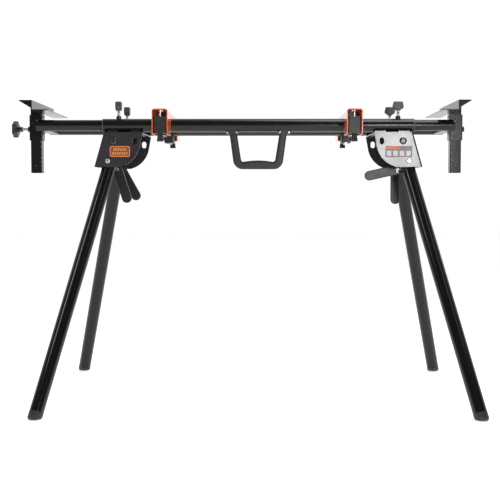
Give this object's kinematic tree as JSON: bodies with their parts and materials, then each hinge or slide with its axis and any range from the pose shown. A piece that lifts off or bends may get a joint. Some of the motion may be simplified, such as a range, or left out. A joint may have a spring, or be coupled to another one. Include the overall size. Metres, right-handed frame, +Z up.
{
  "type": "mitre saw stand",
  "caption": "Folding workshop stand with a twin-tube beam, splayed folding legs, two sliding orange saw channels, pull-out work supports and a carry handle.",
  "frame": {"origin": "on the floor, below the middle of the whole stand's bounding box", "axes": "+X along the beam to the right, +Y to the rear, +Z up; the front faces -Y"},
  "size_m": [1.318, 0.7772, 0.847],
  "materials": {
    "black_tube": "semi-gloss black powder coat",
    "arm_tube": "semi-gloss black powder coat, slide marks",
    "housing_paint": "satin black powder coat",
    "support_paint": "satin black powder coat",
    "orange_paint": "gloss orange powder coat",
    "zinc_steel": "bright zinc plate",
    "black_plastic": "moulded, fine texture",
    "guide_plastic": "moulded",
    "lever_plastic": "moulded, ribbed",
    "foot_rubber": "moulded rubber"
  },
  "bodies": {
    "root": {"front_beam_tube": "black_tube", "rear_beam_tube": "black_tube", "beam_end_bushings": "guide_plastic", "lock_weld_nuts": "black_tube", "carry_handle": "black_plastic", "handle_screws": "zinc_steel", "leg_pivot_bolts": "zinc_steel", "housing_studs": "zinc_steel", "housing_cross_pins": "zinc_steel", "left_housing": "housing_paint", "left_lever_bracket": "housing_paint", "right_housing": "housing_paint", "right_lever_bracket": "housing_paint"},
    "left_arm": {"left_extension_tubes": "arm_tube", "left_cross_bar": "arm_tube", "left_post_sleeve": "arm_tube"},
    "left_post": {"left_post": "support_paint", "left_post_pin": "zinc_steel", "left_post_cap": "black_plastic", "left_work_support": "support_paint"},
    "left_saw_mount": {"left_saw_channel": "orange_paint", "left_saddles": "black_plastic", "left_clamp_jaws": "black_plastic", "left_clamp_bolts": "zinc_steel"},
    "front_left_leg": {"front_left_leg": "black_tube", "front_left_foot": "foot_rubber"},
    "front_left_lever": {"front_left_lever": "lever_plastic"},
    "front_left_lock_pin": {"front_left_lock_pin": "zinc_steel"},
    "front_left_lock_knob": {"front_left_lock_knob": "black_plastic"},
    "front_left_saw_bolt": {"front_left_saw_bolt": "black_plastic"},
    "rear_left_leg": {"rear_left_leg": "black_tube", "rear_left_foot": "foot_rubber"},
    "rear_left_lever": {"rear_left_lever": "lever_plastic"},
    "rear_left_lock_pin": {"rear_left_lock_pin": "zinc_steel"},
    "rear_left_lock_knob": {"rear_left_lock_knob": "black_plastic"},
    "rear_left_saw_bolt": {"rear_left_saw_bolt": "black_plastic"},
    "right_arm": {"right_extension_tubes": "arm_tube", "right_cross_bar": "arm_tube", "right_post_sleeve": "arm_tube"},
    "right_post": {"right_post": "support_paint", "right_post_pin": "zinc_steel", "right_post_cap": "black_plastic", "right_work_support": "support_paint"},
    "right_saw_mount": {"right_saw_channel": "orange_paint", "right_saddles": "black_plastic", "right_clamp_jaws": "black_plastic", "right_clamp_bolts": "zinc_steel"},
    "front_right_leg": {"front_right_leg": "black_tube", "front_right_foot": "foot_rubber"},
    "front_right_lever": {"front_right_lever": "lever_plastic"},
    "front_right_lock_pin": {"front_right_lock_pin": "zinc_steel"},
    "front_right_lock_knob": {"front_right_lock_knob": "black_plastic"},
    "front_right_saw_bolt": {"front_right_saw_bolt": "black_plastic"},
    "rear_right_leg": {"rear_right_leg": "black_tube", "rear_right_foot": "foot_rubber"},
    "rear_right_lever": {"rear_right_lever": "lever_plastic"},
    "rear_right_lock_pin": {"rear_right_lock_pin": "zinc_steel"},
    "rear_right_lock_knob": {"rear_right_lock_knob": "black_plastic"},
    "rear_right_saw_bolt": {"rear_right_saw_bolt": "black_plastic"},
    "left_post_knob": {"left_post_knob": "black_plastic"}
  },
  "joints": [
    {"name": "left_arm_slide", "type": "slide", "parent": "root", "child": "left_arm", "axis": [-1, 0, 0], "range_m": [-0.15, 0.2]},
    {"name": "left_post_height", "type": "slide", "parent": "left_arm", "child": "left_post", "axis": [0, 0, 1], "range_m": [0, 0.065]},
    {"name": "left_saw_mount_slide", "type": "slide", "parent": "root", "child": "left_saw_mount", "axis": [1, 0, 0], "range_m": [-0.03, 0.15]},
    {"name": "front_left_leg_fold", "type": "hinge", "parent": "root", "child": "front_left_leg", "pos_m": [-0.348, -0.061, 0.735], "axis": [0, -1, 0], "range_deg": [0, 92.5]},
    {"name": "front_left_lever_turn", "type": "hinge", "parent": "root", "child": "front_left_lever", "pos_m": [-0.348, -0.042, 0.658], "axis": [0, -1, 0], "range_deg": [-17.5, 62.5]},
    {"name": "front_left_lock_pin_slide", "type": "slide", "parent": "root", "child": "front_left_lock_pin", "axis": [0, -1, 0], "range_m": [-0.00801, 0.00239]},
    {"name": "front_left_lock_knob_turn", "type": "hinge", "parent": "root", "child": "front_left_lock_knob", "pos_m": [-0.3365, -0.091, 0.82], "axis": [0, 0, 1], "continuous": true},
    {"name": "front_left_saw_bolt_slide", "type": "slide", "parent": "left_saw_mount", "child": "front_left_saw_bolt", "axis": [0, 1, 0], "range_m": [-0.0055, 0.06]},
    {"name": "rear_left_leg_fold", "type": "hinge", "parent": "root", "child": "rear_left_leg", "pos_m": [-0.348, 0.061, 0.735], "axis": [0, -1, 0], "range_deg": [0, 92.5]},
    {"name": "rear_left_lever_turn", "type": "hinge", "parent": "root", "child": "rear_left_lever", "pos_m": [-0.348, 0.042, 0.658], "axis": [0, -1, 0], "range_deg": [-29, 51]},
    {"name": "rear_left_lock_pin_slide", "type": "slide", "parent": "root", "child": "rear_left_lock_pin", "axis": [0, 1, 0], "range_m": [-0.00658, 0.00383]},
    {"name": "rear_left_lock_knob_turn", "type": "hinge", "parent": "root", "child": "rear_left_lock_knob", "pos_m": [-0.3365, 0.091, 0.82], "axis": [0, 0, 1], "continuous": true},
    {"name": "rear_left_saw_bolt_slide", "type": "slide", "parent": "left_saw_mount", "child": "rear_left_saw_bolt", "axis": [0, -1, 0], "range_m": [-0.0055, 0.06]},
    {"name": "right_arm_slide", "type": "slide", "parent": "root", "child": "right_arm", "axis": [1, 0, 0], "range_m": [-0.083, 0.267]},
    {"name": "right_post_height", "type": "slide", "parent": "right_arm", "child": "right_post", "axis": [0, 0, 1], "range_m": [0, 0.065]},
    {"name": "right_saw_mount_slide", "type": "slide", "parent": "root", "child": "right_saw_mount", "axis": [1, 0, 0], "range_m": [-0.145, 0.035]},
    {"name": "front_right_leg_fold", "type": "hinge", "parent": "root", "child": "front_right_leg", "pos_m": [0.466, -0.061, 0.735], "axis": [0, 1, 0], "range_deg": [0, 86]},
    {"name": "front_right_lever_turn", "type": "hinge", "parent": "root", "child": "front_right_lever", "pos_m": [0.466, -0.042, 0.658], "axis": [0, 1, 0], "range_deg": [-77.3, 2.7]},
    {"name": "front_right_lock_pin_slide", "type": "slide", "parent": "root", "child": "front_right_lock_pin", "axis": [0, -1, 0], "range_m": [-0.00054, 0.00986]},
    {"name": "front_right_lock_knob_turn", "type": "hinge", "parent": "root", "child": "front_right_lock_knob", "pos_m": [0.4545, -0.091, 0.82], "axis": [0, 0, 1], "continuous": true},
    {"name": "front_right_saw_bolt_slide", "type": "slide", "parent": "right_saw_mount", "child": "front_right_saw_bolt", "axis": [0, 1, 0], "range_m": [-0.0055, 0.06]},
    {"name": "rear_right_leg_fold", "type": "hinge", "parent": "root", "child": "rear_right_leg", "pos_m": [0.466, 0.061, 0.735], "axis": [0, 1, 0], "range_deg": [0, 86]},
    {"name": "rear_right_lever_turn", "type": "hinge", "parent": "root", "child": "rear_right_lever", "pos_m": [0.466, 0.042, 0.658], "axis": [0, 1, 0], "range_deg": [0, 80]},
    {"name": "rear_right_lock_pin_slide", "type": "slide", "parent": "root", "child": "rear_right_lock_pin", "axis": [0, 1, 0], "range_m": [-0.0102, 0.0002]},
    {"name": "rear_right_lock_knob_turn", "type": "hinge", "parent": "root", "child": "rear_right_lock_knob", "pos_m": [0.4545, 0.091, 0.82], "axis": [0, 0, 1], "continuous": true},
    {"name": "rear_right_saw_bolt_slide", "type": "slide", "parent": "right_saw_mount", "child": "rear_right_saw_bolt", "axis": [0, -1, 0], "range_m": [-0.0055, 0.06]},
    {"name": "left_post_knob_turn", "type": "hinge", "parent": "left_arm", "child": "left_post_knob", "pos_m": [-0.615, 0, 0.775], "axis": [-1, 0, 0], "continuous": true}
  ],
  "couplings": [
    {"joint": "front_left_lock_pin_slide", "follows": "front_left_lever_turn", "m_per_rad": -0.007162},
    {"joint": "rear_left_lock_pin_slide", "follows": "rear_left_lever_turn", "m_per_rad": -0.007162},
    {"joint": "front_right_lock_pin_slide", "follows": "front_right_lever_turn", "m_per_rad": -0.007162},
    {"joint": "rear_right_lock_pin_slide", "follows": "rear_right_lever_turn", "m_per_rad": -0.007162}
  ]
}
